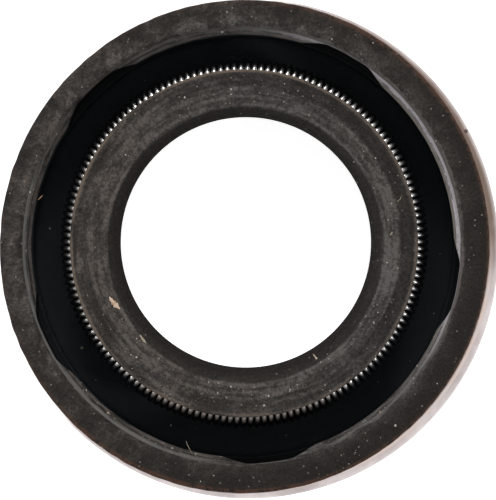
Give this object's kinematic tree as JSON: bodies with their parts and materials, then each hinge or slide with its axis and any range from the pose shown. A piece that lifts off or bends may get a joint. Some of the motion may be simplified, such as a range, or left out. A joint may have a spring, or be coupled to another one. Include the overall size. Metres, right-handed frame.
{
  "type": "radial shaft oil seal",
  "caption": "Ring seal for a rotating shaft: steel case, moulded rubber body with a sealing lip, and a garter spring in the groove behind the lip.",
  "frame": {"origin": "on the shaft axis, in the plane of the case's back face", "axes": "+Z along the shaft axis, towards the oil side with the spring; +X and +Y across it"},
  "size_m": [0.022, 0.022, 0.007],
  "materials": {
    "case_steel": "bare pressed steel, satin, with a slight brown tinge at the rubber's edge",
    "seal_rubber": "matt moulded rubber, mottled and dusty",
    "spring_steel": "bright drawn wire"
  },
  "bodies": {
    "root": {"steel_case": "case_steel", "rubber_body": "seal_rubber", "garter_spring": "spring_steel"}
  },
  "joints": []
}
